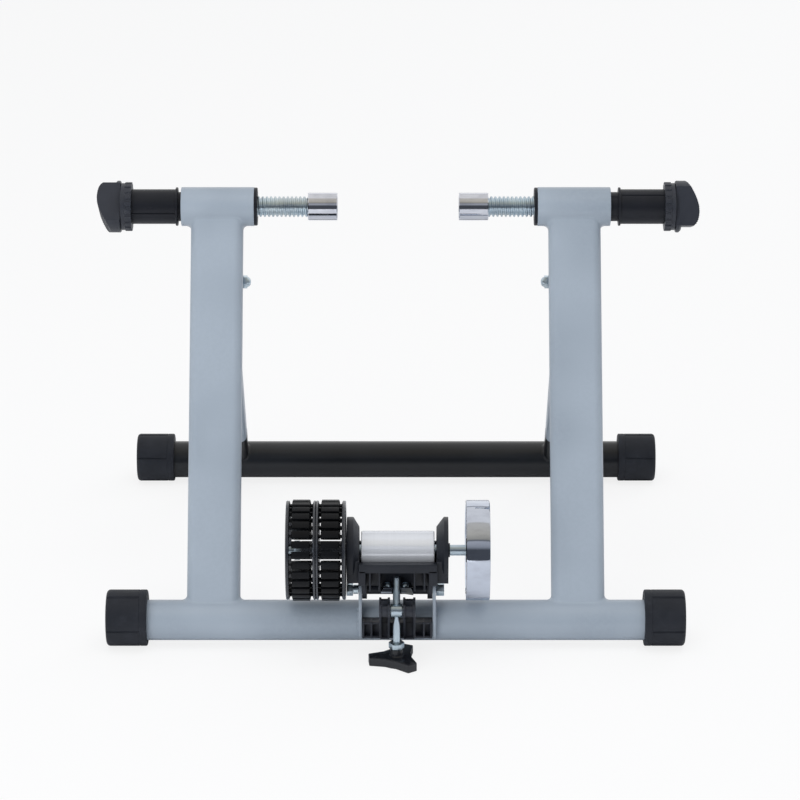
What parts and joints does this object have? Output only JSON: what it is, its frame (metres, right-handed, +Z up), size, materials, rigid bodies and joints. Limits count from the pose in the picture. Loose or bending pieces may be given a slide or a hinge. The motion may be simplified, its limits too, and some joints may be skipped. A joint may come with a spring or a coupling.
{
  "type": "wheel-on turbo trainer",
  "caption": "Folding stand that clamps a bicycle's rear axle in two screwed cups and presses the tyre on a roller with fan wheels and a flywheel.",
  "frame": {"origin": "on the floor, under the middle of the frame's width and of the whole depth", "axes": "+X to the right along the axle as seen from the roller's side, +Y from the roller to the rear legs, +Z up"},
  "size_m": [0.578, 0.5148, 0.3916],
  "materials": {
    "frame_paint": "satin blue-grey paint",
    "black_paint": "satin black paint",
    "black_plastic": "moulded, satin",
    "fan_plastic": "moulded, semi-gloss",
    "rubber": "matt",
    "zinc": "bright zinc plate",
    "chrome": "polished chrome",
    "aluminium": "turned"
  },
  "bodies": {
    "frame": {"front_crossbar": "frame_paint", "left_upright": "frame_paint", "left_hinge_bracket": "frame_paint", "left_front_foot": "rubber", "left_clamp_tube": "frame_paint", "left_clamp_bush": "black_plastic", "left_hinge_bolt": "zinc", "left_hinge_cap_nut": "zinc", "left_hinge_inner_spacer": "zinc", "left_hinge_outer_spacer": "zinc", "left_unit_ear": "frame_paint", "right_upright": "frame_paint", "right_hinge_bracket": "frame_paint", "right_front_foot": "rubber", "right_clamp_tube": "frame_paint", "right_clamp_bush": "black_plastic", "right_hinge_bolt": "zinc", "right_hinge_cap_nut": "zinc", "right_hinge_inner_spacer": "zinc", "right_hinge_outer_spacer": "zinc", "right_unit_ear": "frame_paint", "saddle": "black_plastic", "pivot_bolt": "zinc", "pivot_nut": "zinc", "pivot_spacer_tube": "zinc"},
    "rear_frame": {"rear_crossbar": "black_paint", "left_rear_leg": "frame_paint", "left_rear_foot": "rubber", "right_rear_leg": "frame_paint", "right_rear_foot": "rubber"},
    "left_cup": {"left_clamp_cup": "chrome"},
    "left_screw": {"left_clamp_screw": "zinc", "left_clamp_barrel": "black_plastic", "left_lock_ring": "black_plastic", "left_clamp_knob": "black_plastic"},
    "right_cup": {"right_clamp_cup": "chrome"},
    "right_screw": {"right_clamp_screw": "zinc", "right_clamp_barrel": "black_plastic", "right_lock_ring": "black_plastic", "right_clamp_knob": "black_plastic"},
    "roller_unit": {"unit_bracket": "black_plastic", "guide_plate": "zinc", "left_plate_screw": "zinc", "right_plate_screw": "zinc", "left_bearing": "zinc", "right_bearing": "zinc"},
    "rotor": {"shaft": "zinc", "roller": "aluminium", "flywheel": "chrome", "fan_nut": "zinc", "flywheel_nut": "zinc", "inner_fan_wheel": "fan_plastic", "outer_fan_wheel": "fan_plastic"},
    "trunnion": {"trunnion_block": "zinc"},
    "adjuster": {"adjuster_rod": "zinc", "jam_nut": "zinc", "adjuster_knob": "black_plastic"}
  },
  "joints": [
    {"name": "rear_fold", "type": "hinge", "parent": "frame", "child": "rear_frame", "pos_m": [0, 0.00673, 0.29402], "axis": [1, 0, 0], "range_deg": [-67, 0]},
    {"name": "left_clamp_slide", "type": "slide", "parent": "frame", "child": "left_cup", "axis": [-1, 0, 0], "range_m": [-0.0025, 0.0441]},
    {"name": "left_clamp_turn", "type": "hinge", "parent": "left_cup", "child": "left_screw", "pos_m": [-0.07, 0.01755, 0.3667], "axis": [-1, 0, 0], "range_deg": [-216, 3960]},
    {"name": "right_clamp_slide", "type": "slide", "parent": "frame", "child": "right_cup", "axis": [1, 0, 0], "range_m": [-0.0069, 0.0401]},
    {"name": "right_clamp_turn", "type": "hinge", "parent": "right_cup", "child": "right_screw", "pos_m": [0.07, 0.01755, 0.3667], "axis": [1, 0, 0], "range_deg": [-612, 3600]},
    {"name": "unit_tilt", "type": "hinge", "parent": "frame", "child": "roller_unit", "pos_m": [0, -0.20345, 0.0621], "axis": [1, 0, 0], "range_deg": [-10, 10]},
    {"name": "rotor_spin", "type": "hinge", "parent": "roller_unit", "child": "rotor", "pos_m": [0, -0.20745, 0.1032], "axis": [1, 0, 0], "continuous": true},
    {"name": "trunnion_swivel", "type": "hinge", "parent": "frame", "child": "trunnion", "pos_m": [0.0008, -0.23345, 0.0538], "axis": [1, 0, 0], "range_deg": [-6.1, 6.1]},
    {"name": "adjuster_turn", "type": "hinge", "parent": "trunnion", "child": "adjuster", "pos_m": [0.0008, -0.23345, 0.0538], "axis": [0, 0, 1], "range_deg": [-1500, 1500]}
  ],
  "couplings": [
    {"joint": "left_clamp_slide", "follows": "left_clamp_turn", "m_per_rad": 0.00063662},
    {"joint": "right_clamp_slide", "follows": "right_clamp_turn", "m_per_rad": 0.00063662},
    {"joint": "unit_tilt", "follows": "adjuster_turn", "ratio": 0.00664},
    {"joint": "trunnion_swivel", "follows": "adjuster_turn", "ratio": 0.00403}
  ]
}
